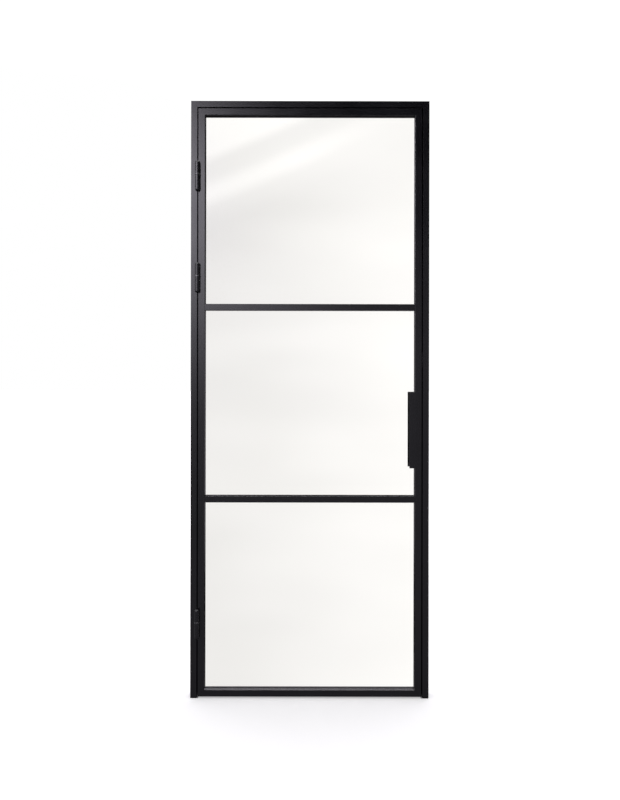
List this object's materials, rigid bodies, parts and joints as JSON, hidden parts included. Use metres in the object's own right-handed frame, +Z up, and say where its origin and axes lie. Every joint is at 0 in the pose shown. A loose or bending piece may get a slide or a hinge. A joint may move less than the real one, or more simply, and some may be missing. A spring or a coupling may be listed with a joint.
{
  "type": "aluminium interior door with frame",
  "caption": "Slim black aluminium door leaf with clear glass panes between glazing bars, hung on barrel hinges in a flush three-sided frame, with plate pull handles.",
  "frame": {"origin": "on the floor, in the middle of the frame's width and of the whole depth", "axes": "+X across the width from the hinges to the lock side, +Y from the pull side to the push side, +Z up"},
  "size_m": [0.938, 0.081, 2.35],
  "materials": {
    "black_coat": "satin",
    "black_steel": "satin",
    "clear_glass": "gloss",
    "black_rubber": "matte",
    "black_plastic": "matte",
    "bare_aluminium": "satin",
    "bright_steel": "satin"
  },
  "bodies": {
    "frame": {"hinge_jamb": "black_coat", "strike_jamb": "black_coat", "head_jamb": "black_coat", "frame_cleat_hinge_side": "bare_aluminium", "frame_cleat_strike_side": "bare_aluminium", "hinge_jamb_foot": "black_plastic", "strike_jamb_foot": "black_plastic", "hinge_jamb_seal": "black_rubber", "strike_jamb_seal": "black_rubber", "head_seal": "black_rubber", "frame_knuckle_low": "black_steel", "frame_knuckle_mid": "black_steel", "frame_knuckle_top": "black_steel", "hinge_pins": "bright_steel", "bearing_rings": "bright_steel", "frame_hinge_backers": "bright_steel", "frame_screws": "bright_steel", "catch_keeper": "bright_steel"},
    "leaf": {"hinge_stile": "black_coat", "lock_stile": "black_coat", "top_rail": "black_coat", "bottom_rail": "black_coat", "lower_bar": "black_coat", "upper_bar": "black_coat", "glass_low": "clear_glass", "glass_mid": "clear_glass", "glass_top": "clear_glass", "front_tape_low": "black_rubber", "front_tape_mid": "black_rubber", "front_tape_top": "black_rubber", "rear_tape_low": "black_rubber", "rear_tape_mid": "black_rubber", "rear_tape_top": "black_rubber", "bead_low_sill": "black_coat", "bead_low_head": "black_coat", "bead_low_hinge_side": "black_coat", "bead_low_lock_side": "black_coat", "bead_mid_sill": "black_coat", "bead_mid_head": "black_coat", "bead_mid_hinge_side": "black_coat", "bead_mid_lock_side": "black_coat", "bead_top_sill": "black_coat", "bead_top_head": "black_coat", "bead_top_hinge_side": "black_coat", "bead_top_lock_side": "black_coat", "leaf_cleat_low_hinge": "bare_aluminium", "leaf_cleat_low_lock": "bare_aluminium", "leaf_cleat_top_hinge": "bare_aluminium", "leaf_cleat_top_lock": "bare_aluminium", "leaf_knuckle_low": "black_steel", "leaf_knuckle_mid": "black_steel", "leaf_knuckle_top": "black_steel", "leaf_hinge_backers": "bright_steel", "leaf_screws": "bright_steel", "bar_screws": "bright_steel", "setting_blocks": "black_plastic", "pull_handle": "black_coat", "push_handle": "black_coat", "handle_bolts": "bright_steel", "catch_magnet": "bright_steel"}
  },
  "joints": [
    {"name": "door_swing", "type": "hinge", "parent": "frame", "child": "leaf", "pos_m": [-0.442, -0.03025, 0], "axis": [0, 0, -1], "range_deg": [0, 175]}
  ]
}
